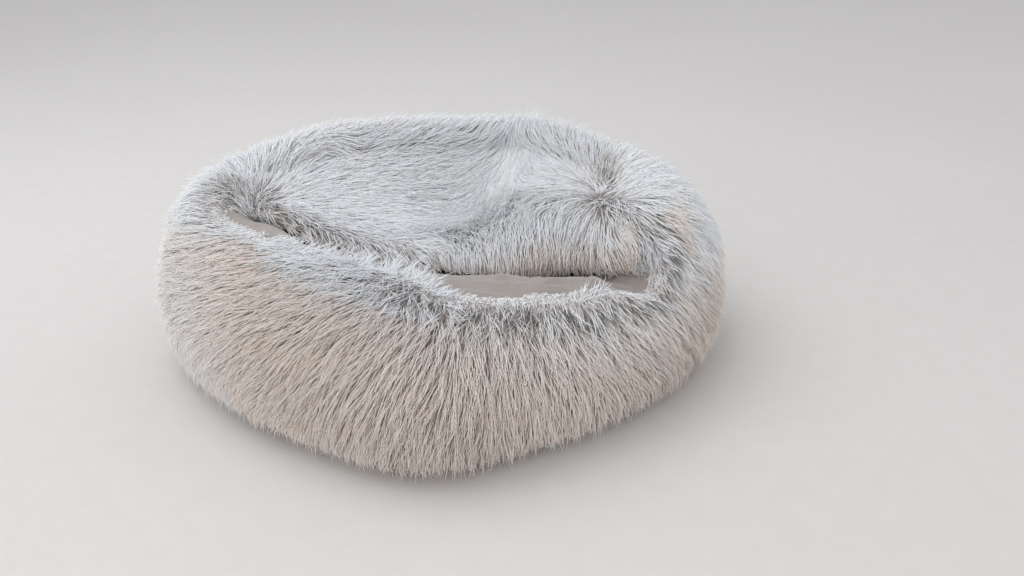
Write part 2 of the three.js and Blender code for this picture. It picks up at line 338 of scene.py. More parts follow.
def soft_body(name, node_names, voxel, rounds, regain):
    """The named solids as one closed, smoothed body. Regain pushes out what smoothing draws in."""
    piece = place_mesh(name, joined_copy(node_names), backing_material)
    remesh = piece.modifiers.new("remesh", "REMESH")
    remesh.mode = "VOXEL"
    remesh.voxel_size = voxel
    smooth = piece.modifiers.new("smooth", "SMOOTH")
    smooth.factor = 0.5
    smooth.iterations = rounds
    mesh = evaluated_mesh(piece, name)
    bpy.data.objects.remove(piece)
    places, normals = points_of(mesh)
    set_places(mesh, places + normals * regain)
    return mesh


# %% Which faces carry the long pile
def node_tree_of(node_names):
    """A search tree over the faces of CAD nodes, to find how near each node is."""
    mesh = joined_copy(node_names)
    found = BVHTree.FromPolygons([v.co for v in mesh.vertices], [p.vertices for p in mesh.polygons])
    bpy.data.meshes.remove(mesh)
    return found


def furry_faces(mesh, fur_nodes, other_nodes, also_fur):
    """One flag per face: whether it is nearest the fur's solids, or named by also_fur."""
    fur, other = node_tree_of(fur_nodes), node_tree_of(other_nodes)
    flags = []
    for face in mesh.polygons:
        center = face.center
        nearer = fur.find_nearest(center)[3] < other.find_nearest(center)[3]
        flags.append(nearer or also_fur(center))
    return flags


def split_by_cloth(mesh, is_fur):
    """Two meshes: the faces with long pile, and the rest."""
    halves = []
    for wanted in (True, False):
        half = bmesh.new()
        half.from_mesh(mesh)
        half.faces.ensure_lookup_table()
        away = [half.faces[i] for i, flag in enumerate(is_fur) if flag != wanted]
        bmesh.ops.delete(half, geom=away, context="FACES")
        made = bpy.data.meshes.new(mesh.name)
        half.to_mesh(made)
        half.free()
        made.shade_smooth()
        halves.append(made)
    return halves


# %% Points as arrays
def points_of(mesh):
    """Places and normals of a mesh's points, as arrays in metres."""
    places = np.empty(len(mesh.vertices) * 3, np.float32)
    mesh.vertices.foreach_get("co", places)
    normals = np.empty(len(mesh.vertices) * 3, np.float32)
    mesh.vertex_normals.foreach_get("vector", normals)
    return places.reshape(-1, 3).astype(float), normals.reshape(-1, 3).astype(float)


def set_places(mesh, places):
    mesh.vertices.foreach_set("co", places.ravel())
    mesh.update()


def shift(places, share, millimetres):
    """Move each place by its own share of one distance."""
    places += share[:, None] * np.array(millimetres) * MM


def from_edge(mesh, highest=math.inf):
    """How far each point is from the open edge of its mesh, where that edge is lower than highest."""
    body = bmesh.new()
    body.from_mesh(mesh)
    edge = [point.co.copy() for point in body.verts if point.is_boundary and point.co.z < highest]
    body.free()
    tree = KDTree(len(edge))
    for number, place in enumerate(edge):
        tree.insert(place, number)
    tree.balance()
    return np.array([tree.find(point.co)[2] for point in mesh.vertices])


def keep(mesh, name, values):
    """Store one number or vector per point on a mesh, over what it holds by that name."""
    kind, field = ("FLOAT_VECTOR", "vector") if values.ndim == 2 else ("FLOAT", "value")
    attribute = mesh.attributes.get(name) or mesh.attributes.new(name, kind, "POINT")
    attribute.data.foreach_set(field, values.astype(np.float32).ravel())


def kept(mesh, name):
    values = np.empty(len(mesh.vertices), np.float32)
    mesh.attributes[name].data.foreach_get("value", values)
    return values.astype(float)


def smoothstep(low, high, values):
    """A soft ramp from 0 at low to 1 at high, which may also run downwards. Lengths are in metres."""
    t = np.clip((values - low) / (high - low), 0, 1)
    return t * t * (3 - 2 * t)


def bell(values, width):
    return np.exp(-((values / width) ** 2))


# %% Where the cloths meet
WALL_FUR = ["wall_fur"]
WALL_OTHER = ["wall_lining", "lip_piping"]
HOOD_FUR = ["canopy_fur", "hood_fur"]
HOOD_OTHER = ["canopy_wadding", "canopy_lining", "hood_wadding", "hood_lining"]

MOUTH_LEFT = Vector((-221, -30, 170)) * MM
MOUTH_RIGHT = Vector((190, -94, 140)) * MM
SEWN_REACH = 38 * MM
LEFT_REACH = 34 * MM
lip = node_tree_of(["lip_piping"])


def keep_from_lip(mesh):
    """Store how far each point is from the lip's seam."""
    keep(mesh, "from_lip", np.array([lip.find_nearest(point.co)[3] for point in mesh.vertices]))


def behind_mouth(place):
    """How far a place is behind the line between the mouth's corners."""
    share = (place.x - MOUTH_LEFT.x) / (MOUTH_RIGHT.x - MOUTH_LEFT.x)
    return place.y - (MOUTH_LEFT.y + share * (MOUTH_RIGHT.y - MOUTH_LEFT.y))


def sewn_down(place):
    """Where the hood is sewn to the wall, its long pile runs on over the lip's inside."""
    return behind_mouth(place) > 0 and lip.find_nearest(place)[3] < SEWN_REACH


# %% How the cloth lies at the mouth
def draw_curtain(mesh):
    """Draw the hood's right front corner forward, where it hangs like a curtain, and its left one in."""
    places, _ = points_of(mesh)
    x, y, z = places.T
    in_front = smoothstep(0.02, -0.05, y)
    corner = smoothstep(0.12, 0.175, x) * in_front
    edge = smoothstep(0.155, 0.185, x) * in_front
    left = smoothstep(-0.12, -0.17, x) * smoothstep(0.01, -0.03, y)
    shift(places, corner, (8, -50, 1))
    shift(places, edge, (20, 0, 5))
    shift(places, left, (2, 5, 2))
    hem = smoothstep(0.105, 0.14, x) * smoothstep(-0.03, -0.05, y) * smoothstep(0.15, 0.12, z)
    shift(places, hem, (0, 0, 7))
    set_places(mesh, places)


def slump_roll(mesh):
    """Let the lip's roll slump at both corners of the mouth, so that they stand open."""
    places, _ = points_of(mesh)
    x, y, z = places.T
    at_end = smoothstep(0.145, 0.17, x)
    right = smoothstep(0.06, 0.12, x) * smoothstep(0.225, 0.195, x)
    right *= smoothstep(0, 0.05, y + 0.155 + 0.007 * at_end) * smoothstep(-0.06, -0.1, y)
    right *= smoothstep(0.08, 0.13, z)
    shift(places, right * (30 + 8 * at_end), (0, 0, -1))
    left = bell(np.hypot(x + 0.198, y + 0.052), LEFT_REACH) * smoothstep(0.11, 0.16, z)
    shift(places, left, (-1, -3, -9))
    inside = bell(np.hypot(x + 0.165, y + 0.047), LEFT_REACH) * smoothstep(0.115, 0.145, z)
    shift(places, inside, (6, 13, 2))
    set_places(mesh, places)


def fill_crease(mesh):
    """Let the wall's roll lean in over the hood's right edge, so that the two meet in one crease."""
    places, _ = points_of(mesh)
    x, y, z = places.T
    crease = 0.171 + 0.15 * (y + 0.031)
    from_crown = smoothstep(0.215, 0.19, x)
    plateau = 0.177 - 0.22 * (0.215 - x) - 0.1 * from_crown * (x - crease)
    share = smoothstep(-0.07, -0.035, y) * smoothstep(0.13, 0.09, y) * smoothstep(0.135, 0.152, z)
    share *= smoothstep(0.17, 0.175, x) * smoothstep(0.222, 0.212, x)
    x += share * from_crown * (crease - 0.188)
    z += share * np.maximum(plateau - z, 0)
    set_places(mesh, places)


# %% Wall and hood
wall_mesh = soft_body("wall", WALL_FUR + ["wall_filling", "wall_lining"], 4.5 * MM, 20, 2.5 * MM)
wall_is_fur = furry_faces(wall_mesh, WALL_FUR, WALL_OTHER, sewn_down)
keep_from_lip(wall_mesh)
slump_roll(wall_mesh)
fill_crease(wall_mesh)
wall_skin_mesh, wall_plush_mesh = split_by_cloth(wall_mesh, wall_is_fur)
hood_mesh = soft_body("hood", HOOD_FUR + HOOD_OTHER, 3.4 * MM, 8, 1 * MM)
hood_is_fur = furry_faces(hood_mesh, HOOD_FUR, HOOD_OTHER, lambda place: False)
keep_from_lip(hood_mesh)
draw_curtain(hood_mesh)
hood_skin_mesh, hood_plush_mesh = split_by_cloth(hood_mesh, hood_is_fur)
wall_skin = place_mesh("wall_skin", wall_skin_mesh, backing_material)
hood_skin = place_mesh("hood_skin", hood_skin_mesh, backing_material)
wall_plush = place_mesh("wall_plush", wall_plush_mesh, plush_material)
hood_plush = place_mesh("hood_plush", hood_plush_mesh, plush_material)
for mesh in (wall_skin_mesh, hood_skin_mesh):
    print(mesh.name, "skin", len(mesh.polygons), "faces")

# %% [markdown]
# ## Folds in the plush
# The lining is thinner than the fur and lies loosely, so it creases a little everywhere, and more
# where it rolls over the lip. A bump in the material could show that, but not along an edge, so the
# mesh's own points are moved. The folds fade out at the cloth's edge, where it is sewn down.

# %% Folds in the plush
FOLD_SPACING = 20 * MM
WRINKLE_FINENESS = np.array([45, 45, 20])


def fold_plush(mesh):
    """Soft wrinkles all over the lining, and long shallow folds where it rolls over the lip."""
    places, normals = points_of(mesh)
    x, y, _ = places.T
    wrinkles = np.array([noise.noise(Vector(place)) for place in places * WRINKLE_FINENESS])
    roll = smoothstep(-0.03, 0.04, x) * smoothstep(-0.09, -0.11, y)
    folds = np.sin((y + 0.22 * x) * 2 * math.pi / FOLD_SPACING + 3 * wrinkles) * roll
    height = (1.5 * wrinkles + 2 * folds) * smoothstep(0, 0.01, from_edge(mesh)) * MM
    set_places(mesh, places + normals * height[:, None])


fold_plush(wall_plush_mesh)
fold_plush(hood_plush_mesh)
print("plush", len(wall_plush_mesh.polygons) + len(hood_plush_mesh.polygons), "faces")

# %% [markdown]
# ## The pad underneath and the cushion inside
# The underside is a flat pad: grip cloth below, plush above. The cushion is filled cloth. Its rounded
# solids would do from afar, but a filled cloth is fuller in its middle than at its seam. So a cloth
# simulation swells it: pressure pushes the cloth out, a cap keeps it clear of the wall, and then a
# groove is drawn in for the seam round its edge.

# %% Pad underneath
PRESSED_FLAT = 4 * MM
GRIP_HEIGHT = 6 * MM

base_mesh = soft_body("base", ["base_cloth", "base_wadding", "nest_floor"], 6 * MM, 4, 0.5 * MM)
places, _ = points_of(base_mesh)
places[places[:, 2] < PRESSED_FLAT, 2] = 0
set_places(base_mesh, places)
base_pad = place_mesh("base_pad", base_mesh, plush_material, woven_material)
under = set(np.flatnonzero(places[:, 2] < GRIP_HEIGHT))
for face in base_mesh.polygons:
    face.material_index = int(all(corner in under for corner in face.vertices))
base_mesh.shade_smooth()
print("base pad", len(base_mesh.polygons), "faces")

# %% Cushion
SWELL_PRESSURE = 1.5
SWELL_FRAMES = 20
START_INSET = 4 * MM
MOST_SWELL = 7 * MM
SEAM_HEIGHT = 33.5 * MM
SEAM_WIDTH = 3 * MM
SEAM_DEPTH = 2.5 * MM


def swell(mesh):
    """Fill a closed cloth with air by cloth simulation, and return it as a plain mesh."""
    start, normals = points_of(mesh)
    start -= normals * START_INSET
    set_places(mesh, start)
    piece = put("swelling", mesh)
    cloth = piece.modifiers.new("cloth", "CLOTH")
    cloth.settings.use_pressure = True
    cloth.settings.uniform_pressure_force = SWELL_PRESSURE
    cloth.settings.effector_weights.gravity = 0
    for frame_number in range(1, SWELL_FRAMES + 1):
        bpy.context.scene.frame_set(frame_number)
    swollen = evaluated_mesh(piece, "cushion")
    bpy.data.objects.remove(piece)
    bpy.context.scene.frame_set(1)
    places, _ = points_of(swollen)
    moved = places - start
    far = np.linalg.norm(moved, axis=1, keepdims=True)
    places = start + moved * np.minimum(1, MOST_SWELL / np.maximum(far, 1e-9))
    print("cushion swelled by up to", round(far.max() / MM, 1), "mm")
    set_places(swollen, places)
    return swollen


CUSHION_SOLIDS = ["cushion_top_cloth", "cushion_filling", "cushion_bottom_cloth"]
cushion_mesh = swell(soft_body("cushion", CUSHION_SOLIDS, 6 * MM, 3, 0))
cushion = place_mesh("cushion", cushion_mesh, plush_material)
finer = cushion.modifiers.new("finer", "SUBSURF")
finer.levels = finer.render_levels = 1
cushion_mesh = evaluated_mesh(cushion, "cushion")
bpy.data.objects.remove(cushion)
places, normals = points_of(cushion_mesh)
on_rim = smoothstep(0.5, 0.9, np.abs(normals[:, :2]).max(1))
at_seam = bell(places[:, 2] - SEAM_HEIGHT, SEAM_WIDTH) * on_rim
set_places(cushion_mesh, places - normals * (at_seam * SEAM_DEPTH)[:, None])
cushion_mesh.shade_smooth()
cushion = place_mesh("cushion", cushion_mesh, plush_material)
print("cushion", len(cushion_mesh.polygons), "faces")

# %% [markdown]
# ## How the pile has been stroked
# Fur on a bed lies the way hands and gravity leave it. It could be combed with a brush on the screen,
# but a table can be read, repeated and corrected. Each row below is one stroke of the hand: a place
# on the bed in millimetres, and the way the pile lies there. Most rows were worked out beforehand, by
# another script, from arrows set by eye on the photograph, and the rest were typed by hand. Between
# strokes the direction is blended by distance, and where no stroke is near, the wall's pile falls
# outwards from the lip.

# %% Strokes
STROKES = [
    # left end of the wall
    (-196, 51, 178, -0.08, 0.8, 0.59),
    (-186, 60, 174, 0.34, 0.87, 0.37),
    (-191, 93, 192, -0.02, 1.0, 0.06),
    (-156, 102, 182, 0.65, 0.75, 0.15),
    (-222, 52, 187, -0.72, 0.69, -0.06),
    (-232, 29, 185, -0.8, 0.58, -0.13),
    (-214, 2, 178, -0.93, -0.1, 0.35),
    (-223, -16, 180, -1.0, -0.01, 0.08),
    (-214, -39, 176, -1.0, 0.03, 0.06),
    (-203, -58, 171, -0.99, -0.12, -0.04),
    (-216, -69, 164, -0.92, 0.27, -0.27),
    (-201, -94, 153, -0.9, -0.02, -0.43),
    (-169, -106, 156, -0.96, -0.08, -0.25),
    (-226, -76, 151, -0.74, 0.58, -0.33),
    (-232, -91, 126, -0.65, 0.62, -0.44),
    (-153, -141, 136, -0.89, 0.12, -0.44),
    (-209, -122, 110, -0.66, 0.48, -0.57),
    (-127, -168, 123, -0.8, -0.03, -0.6),
    (-180, -156, 90, -0.58, 0.44, -0.69),
    (-91, -166, 135, -0.84, -0.31, -0.45),
    (-100, -200, 102, -0.58, -0.01, -0.82),
    (-64, -199, 120, -0.63, -0.38, -0.68),
    (-146, -186, 65, -0.47, 0.52, -0.71),
    # middle and right of the wall
    (-51, -231, 87, -0.43, -0.01, -0.9),
    (-17, -211, 120, -0.54, -0.57, -0.61),
    (8, -231, 103, -0.37, -0.49, -0.78),
    (-1, -247, 71, -0.29, 0.02, -0.96),
    (38, -233, 93, -0.18, -0.39, -0.9),
    (71, -216, 101, -0.07, -0.48, -0.88),
    (70, -230, 57, -0.07, 0.13, -0.99),
    (105, -208, 86, 0.11, -0.11, -0.99),
    (150, -188, 78, 0.25, 0.15, -0.96),
    (182, -167, 82, 0.38, 0.29, -0.88),
    (221, -132, 88, 0.39, 0.39, -0.83),
    (245, -92, 117, 0.46, 0.37, -0.81),
    (239, -83, 141, 0.5, 0.15, -0.85),
    # just under the lip
    (-170, -100, 157, -0.88, -0.22, -0.43),
    (-118, -129, 149, -0.85, -0.42, -0.33),
    (-83, -137, 146, -0.8, -0.54, -0.25),
    (-40, -155, 141, -0.4, -0.87, -0.28),
    (0, -173, 137, -0.25, -0.91, -0.32),
    (34, -177, 135, -0.08, -0.92, -0.39),
    (72, -178, 131, -0.13, -0.87, -0.48),
    (112, -172, 130, 0.08, -0.71, -0.7),
    (151, -164, 125, 0.22, -0.45, -0.86),
    (182, -153, 118, 0.44, -0.06, -0.89),
    # hood, out from its left gather
    (-201, 21, 174, -0.67, 0.7, 0.24),
    (-187, 24, 171, -0.05, 0.97, 0.2),
    (-173, 29, 168, 0.53, 0.85, -0.05),
    (-166, 8, 164, 0.88, 0.44, -0.15),
    (-165, -15, 164, 0.75, -0.66, -0.07),
    (-148, -32, 162, 0.71, -0.69, -0.12),
    (-141, -8, 159, 0.87, -0.47, -0.16),
    (-124, -49, 157, 0.59, -0.79, -0.19),
    (-134, 49, 159, 0.93, 0.28, -0.23),
    (-93, -56, 152, 0.7, -0.7, -0.14),
    (-65, -80, 145, 0.68, -0.71, -0.18),
    (-12, -69, 140, 0.8, -0.51, -0.31),
    (-106, 68, 153, 0.95, 0.13, -0.28),
    (-65, 28, 136, 0.91, -0.32, -0.27),
    (-55, 104, 146, 0.95, 0.22, -0.2),
    (-15, 81, 126, 0.9, -0.44, -0.03),
    (-128, 121, 174, 0.94, -0.11, -0.31),
    (-76, 137, 168, 0.93, 0.36, -0.03),
    (-19, 160, 168, 0.95, 0.31, -0.02),
    (22, 131, 147, 0.97, -0.09, 0.24),
    (42, 165, 178, 0.81, 0.53, 0.24),
    # ridge in the middle
    (7, 157, 160, 1.0, -0.01, -0.02),
    (45, 130, 153, 0.96, -0.09, 0.26),
    (59, 93, 148, 0.8, 0.4, 0.45),
    (54, 70, 141, 0.85, 0.1, 0.42),
    (28, 32, 126, 0.83, -0.44, 0.34),
    (66, 30, 146, 0.75, -0.3, 0.42),
    (81, 129, 164, 0.45, 0.85, 0.25),
    (86, 98, 164, 0.35, 0.9, 0.1),
    (86, 66, 163, 0.3, 0.9, 0.1),
    (88, 34, 163, -0.3, 0.85, 0.1),
    (84, -8, 161, -0.02, -1.0, 0.05),
    (105, 137, 168, -0.6, 0.75, 0.14),
    (110, 100, 168, -0.75, 0.6, 0.0),
    (110, 32, 169, -0.97, 0.1, -0.2),
    (110, -19, 169, -0.8, -0.57, -0.18),
    (8, -39, 136, 0.24, -0.96, 0.15),
    (36, -60, 138, 0.21, -0.97, -0.13),
    (56, -56, 142, 0.13, -0.95, -0.28),
    (73, -53, 149, -0.01, -0.9, -0.43),
    (104, -59, 151, 0.06, -0.76, -0.65),
    (124, -57, 155, -0.2, -0.68, -0.71),
    # right lobe, out from its gather
    (131, 66, 169, -0.65, 0.76, -0.07),
    (155, 60, 167, -0.24, 0.97, -0.09),
    (142, -1, 173, -0.96, 0.28, 0.0),
    (141, -29, 172, -0.93, -0.34, -0.12),
    (138, -47, 166, -0.7, -0.53, -0.48),
    (157, -42, 166, -0.5, -0.8, -0.2),
    (171, -44, 167, 0.25, -0.95, -0.2),
    (160, -22, 169, -0.8, 0.55, 0.0),
    (172, -18, 169, 0.8, 0.55, 0.1),
    (148, -62, 162, -0.42, -0.64, -0.64),
    (161, -65, 166, -0.13, -0.88, -0.47),
    (177, -70, 166, 0.08, -0.92, -0.38),
    (121, -71, 135, -0.12, -0.46, -0.88),
    (159, -83, 147, -0.02, -0.5, -0.87),
    (179, -92, 148, 0.07, -0.51, -0.86),
    (176, -32, 168, 0.95, -0.3, 0.0),
    (182, -12, 170, 0.98, -0.1, 0.1),
    (184, 14, 170, 0.98, 0.1, 0.1),
    (188, 38, 172, 0.95, 0.3, 0.1),
    (164, 12, 170, -0.8, 0.5, 0.0),
    (168, 36, 170, -0.55, 0.8, 0.0),
    # right end of the wall, above and below its parting
    (159, 110, 178, -0.17, 0.89, 0.42),
    (179, 120, 182, 0.13, 0.99, -0.07),
    (196, 88, 180, 0.6, 0.79, 0.01),
    (196, 47, 174, 0.9, 0.4, 0.1),
    (204, 5, 172, 0.99, -0.1, 0.05),
    (204, -35, 171, 0.96, -0.25, 0.05),
    (211, -65, 168, 0.86, -0.45, -0.23),
    (244, -59, 154, 0.8, 0.3, -0.52),
    (264, -43, 138, 0.46, -0.26, -0.85),
    (190, -60, 163, 0.35, -0.93, 0.0),
    (196, -80, 160, 0.1, -0.98, -0.15),
    (200, -115, 146, 0.4, -0.7, -0.55),
    (188, -110, 140, 0.8, -0.5, -0.3),
    (194, -97, 146, 0.8, -0.45, -0.3),
    (214, -92, 156, 0.49, -0.63, -0.6),
    (236, -84, 147, 0.56, -0.23, -0.79),
    (215, -116, 138, 0.44, -0.32, -0.84),
]
STROKE_REACH = 38 * MM
stroke_places = np.array(STROKES)[:, :3] * MM
stroke_ways = np.array(STROKES)[:, 3:]
WALL_MIDDLE = np.array([-2.0, -11.1]) * MM


def unit(vectors):
    return vectors / np.maximum(np.linalg.norm(vectors, axis=1, keepdims=True), 1e-9)


def outwards_from_middle(places):
    """Level directions away from the middle of the wall."""
    return unit(np.column_stack([places[:, :2] - WALL_MIDDLE, np.zeros(len(places))]))


def falling(places, normals):
    """The way pile falls from the lip: outwards on top, down the side, and in under the belly."""
    outwards = outwards_from_middle(places)
    out_part = (normals * outwards).sum(1)
    ways = outwards * normals[:, 2:]
    ways[:, 2] = -out_part
    return unit(ways)


def combed(places, normals, start, start_weight):
    """Blend the strokes with a starting direction, and lay the result along the surface."""
    gaps = ((places[:, None, :] - stroke_places[None]) ** 2).sum(2)
    gaps /= STROKE_REACH**2
    weights = np.exp(-gaps / 2) / (gaps + 0.05)
    ways = weights @ stroke_ways + start_weight * start
    ways -= (ways * normals).sum(1)[:, None] * normals
    return unit(ways)


print(len(STROKES), "strokes")

# %% [markdown]
# Where the pile parts or is pulled, one looks down into shade between the hairs. That shade is painted
# into the hairs' colour: near each place below, the hairs are darker along more of their length and
# beiger, at the two gathers, along the parting to the right of the hood, in the pockets at the foot of
# the ridge and where the hood's edge hangs. Each row below is a place in millimetres, how far the shade
# reaches, and how deep it is. The places were looked up beforehand for spots picked in the photograph,
# and how far and how deep each reaches was set one by one. The next three tables are alike.

# %% Shades
SHADES = [
    # left gather and the knot beside it
    (-187, 6, 168, 12, 0.65),
    (-192, 30, 172, 8, 0.55),
    (-195, 48, 177, 7, 0.5),
    (-205, 8, 174, 8, 0.4),
    (-215, -11, 178, 9, 0.9),
    (-206, -2, 171, 9, 0.9),
    (-198, -14, 172, 12, 0.9),
    (-209, -28, 173, 11, 0.9),
    (-195, -32, 170, 10, 0.8),
    (-180, -26, 165, 12, 0.9),
    # hood's edge
    (-160, -36, 160, 16, 0.8),
    (-140, -50, 154, 17, 0.9),
    (-116, -60, 149, 17, 0.9),
    (-90, -70, 144, 17, 0.9),
    (-64, -82, 140, 16, 0.8),
    (-36, -87, 136, 14, 0.7),
    (-8, -87, 132, 13, 0.6),
    # pockets at the foot of the ridge
    (22, 22, 133, 11, 0.45),
    (46, 39, 134, 8, 0.7),
    (46, -15, 140, 10, 0.4),
    (81, -34, 157, 8, 0.4),
    # right gather and its parting
    (167, -32, 167, 9, 0.5),
    (171, -8, 168, 7, 0.3),
    (174, 14, 168, 8, 0.7),
    (177, 36, 169, 8, 0.8),
    (181, 60, 172, 8, 0.6),
    (160, -46, 164, 11, 0.4),
    (177, -52, 166, 11, 0.6),
    (190, -60, 166, 9, 0.65),
    (202, -71, 166, 9, 0.8),
    (217, -79, 162, 9, 0.7),
    (231, -82, 156, 9, 0.6),
    (246, -78, 148, 9, 0.4),
    # the hanging front of the hood
    (175, -84, 148, 22, 0.35),
    (148, -76, 146, 22, 0.25),
    (105, -66, 142, 24, 0.15),
    (60, -64, 140, 24, 0.2),
]


# Painted light: here the hairs are coloured paler along their length, which takes away the shade
# between them, and where a shade spot overlaps it is weakened.
PAINTED_LIGHT_SPOTS = [
    (-225, 38, 185, 20, 0.12),
    (-205, 44, 180, 16, 0.12),
    (12, -1, 129, 24, 0.16),
    (44, 4, 137, 22, 0.16),
    (74, -39, 154, 24, 0.17),
    (104, -43, 162, 26, 0.18),
    (136, -42, 166, 24, 0.19),
    (167, 0, 170, 16, 0.18),
    (190, -52, 169, 18, 0.17),
    (185, -70, 166, 16, 0.15),
]


# Here the pile stands up in loose white tufts: in both gathers, along the ridge and at the peak.
TUFTS = [
    (-208, -8, 173, 16, 1.4),
    (-190, -10, 168, 14, 1.3),
    (30, 28, 128, 12, 0.5),
    (70, 14, 146, 10, 0.5),
    (165, -31, 168, 8, 1.2),
    (92, 178, 193, 18, 1.3),
    (150, 150, 188, 15, 1.0),
]


# Here it is pressed flat, so that the lining shows at both corners of the mouth.
FLATTENED = [
    (192, -112, 122, 18, 1.0),
    (180, -128, 126, 16, 1.0),
    (185, -146, 126, 12, 0.9),
    (169, -154, 129, 13, 1.0),
    (151, -157, 133, 13, 1.0),
    (133, -160, 136, 12, 0.8),
    (-208, -40, 174, 11, 1.0),
    (-196, -48, 172, 12, 1.0),
    (-178, -62, 168, 12, 0.9),
    (-206, -27, 172, 11, 0.9),
    (-192, -30, 168, 11, 1.0),
    (-204, -20, 170, 10, 0.75),
    (-194, -20, 166, 10, 0.75),
    (-178, -35, 165, 10, 0.8),
    (-182, -18, 166, 10, 0.7),
    (-168, -26, 163, 9, 0.6),
]


def near_any(places, spots):
    """The strongest of the named spots at each place, fading out over each spot's reach."""
    found = np.zeros(len(places))
    for *place, reach, strength in spots:
        gaps = ((places - np.array(place) * MM) ** 2).sum(1)
        found = np.maximum(found, strength * np.exp(-gaps / (reach * MM) ** 2))
    return found


# %% [markdown]
# ## Combing
# Now each skin gets one value per point for all that a hair asks of it: its way, its length, how high
# it stands, how pale it is with painted light, and how deep in painted shade. Painted maps could hold
# that too, but here each value can be worked out from the tables, from the lip and from how the
# surface faces.

# %% Comb both skins
MOUTH_DEPTH = 10 * MM
HOOD_OUTER_SHARE = 0.4
HOOD_HEM_TOP = 132 * MM
TRIMMED_PILE = 6 * MM
PALEST = 0.95


def comb_skin(mesh, is_hood, fall_weight, pile, rise):
    """Store all that a hair asks of its skin: its way, length, height, paleness with painted light, and
    painted shade.
    """
    places, normals = points_of(mesh)
    x, y, z = places.T
    level = normals[:, 2]
    from_lip = kept(mesh, "from_lip")
    facing_out = (normals * outwards_from_middle(places)).sum(1)
    outer_side = smoothstep(0.0, 0.35, facing_out) * (HOOD_OUTER_SHARE if is_hood else 1)
    near_mouth = np.array([behind_mouth(Vector(place)) < MOUTH_DEPTH for place in places])
    painted_shade_spots = near_any(places, SHADES)
    tuft = near_any(places, TUFTS)

    # Hairs tangle along the lip. Painted shade darkens them at the shade spots and in a band under the
    # lip, and painted light makes them paler at its own spots
    tangle = near_mouth * bell(from_lip, 0.022 if is_hood else 0.04) * smoothstep(-0.16, -0.08, x)
    depth = painted_shade_spots
    if not is_hood:
        shade_under_lip = near_mouth * bell(from_lip - 0.019, 0.011) * smoothstep(-0.12, 0.04, x)
        depth = np.maximum(painted_shade_spots, 0.6 * shade_under_lip)
    depth = depth - near_any(places, PAINTED_LIGHT_SPOTS)

    # They lie flat along both open parts of the mouth, and on the wall's inside at its right corner
    open_mouth = smoothstep(-0.02, 0.01, x) + smoothstep(-0.135, -0.155, x)
    at_edge = near_mouth * open_mouth * smoothstep(0.02, 0.006, from_lip)
    flat = np.maximum(at_edge, near_any(places, FLATTENED))
    if not is_hood:
        inside_corner = smoothstep(0.12, 0.14, x) * smoothstep(-0.07, -0.082, y)
        inside_corner *= smoothstep(0.142, 0.128, z) * smoothstep(0.3, 0.1, facing_out)
        flat = np.maximum(flat, inside_corner)

    # Their length and height. The hood's right corner hangs long, and the hem over the mouth is trimmed
    low_down = smoothstep(0.05, 0.01, z)
    curtain = smoothstep(0.09, 0.13, x) * smoothstep(-0.02, -0.05, y) * is_hood
    rise = rise * (1 - 0.55 * low_down + 0.2 * tangle + 0.5 * tuft) * (1 - 0.88 * flat)
    pile = pile * (1 - 0.2 * low_down + 0.15 * curtain) * (1 - 0.65 * flat)
    if is_hood:
        at_hem = smoothstep(-0.03, -0.06, y) * smoothstep(-0.04, 0.0, x)
        trimmed = np.minimum(pile, from_edge(mesh, HOOD_HEM_TOP) + TRIMMED_PILE)
        pile = pile + at_hem * (trimmed - pile)

    # The pile is white on top and beige down the side, whiter high at both ends. That is partly the
    # fur's own frosted tips and partly painted light: the level top, where the light falls, is made
    # whiter, and painted shade makes the hood's hanging front and the shade spots beiger
    frost = 0.12 + 0.7 * smoothstep(0.93, 1.0, level)
    frost += 0.42 * smoothstep(-0.13, -0.24, x)
    frost += 0.18 * smoothstep(0.17, 0.25, x) * smoothstep(0.08, 0.14, z)
    frost += 0.6 * smoothstep(0.215, 0.24, x) * smoothstep(0.11, 0.15, z)
    frost += 0.6 * smoothstep(-0.16, -0.19, x) * smoothstep(0.155, 0.175, z)
    frost = 0.88 * (1 - outer_side) + frost * outer_side + 0.75 * tangle + 0.3 * tuft
    if is_hood:
        # Painted shade: the hood's hanging front is made beiger, as it is turned away from the light
        hanging = smoothstep(0.0, -0.04, y) * smoothstep(0.8, 0.5, level)
        frost -= hanging * (0.25 + 0.25 * smoothstep(-0.02, 0.06, x))
    # Painted shade: the pile is also made beiger at the shade spots
    frost = np.clip(frost, 0, PALEST) - painted_shade_spots * (0.15 + 0.25 * smoothstep(-0.05, 0.03, x))

    keep(mesh, "out", normals)
    keep(mesh, "comb", combed(places, normals, falling(places, normals), fall_weight))
    keep(mesh, "rise", rise)
    keep(mesh, "pile", pile)
    keep(mesh, "unrest", (0.8 + 1.7 * tangle + 4 * tuft) * (1 - 0.7 * flat))
    keep(mesh, "clump", 1 + 2 * np.maximum(depth, 0) + 1.2 * tangle + tuft)
    keep(mesh, "frost", frost)
    keep(mesh, "depth", depth)
    keep(mesh, "fullness", smoothstep(-0.9, -0.5, level))
    print("hood" if is_hood else "wall", "combed, pile up to", round(pile.max() / MM, 1), "mm")


comb_skin(wall_skin_mesh, is_hood=False, fall_weight=0.25, pile=33 * MM, rise=14 * MM)
comb_skin(hood_skin_mesh, is_hood=True, fall_weight=0.02, pile=34 * MM, rise=12 * MM)

# %% [markdown]
# ## Growing the pile
# A hair starts at its root and creeps over the skin a step at a time. At each step it asks the skin
# which way the pile lies there, adds a little sway of its own lock, and settles back on the skin. In
# the end it is lifted off by its rise, drawn towards the middle of its lock, and given a thin
# three-sided body that tapers to its tip. Hair curves would be lighter, but every piece of this bed has
# to be a mesh, and Geometry Nodes make one of thousands of hairs at once. The tree is built in steps.

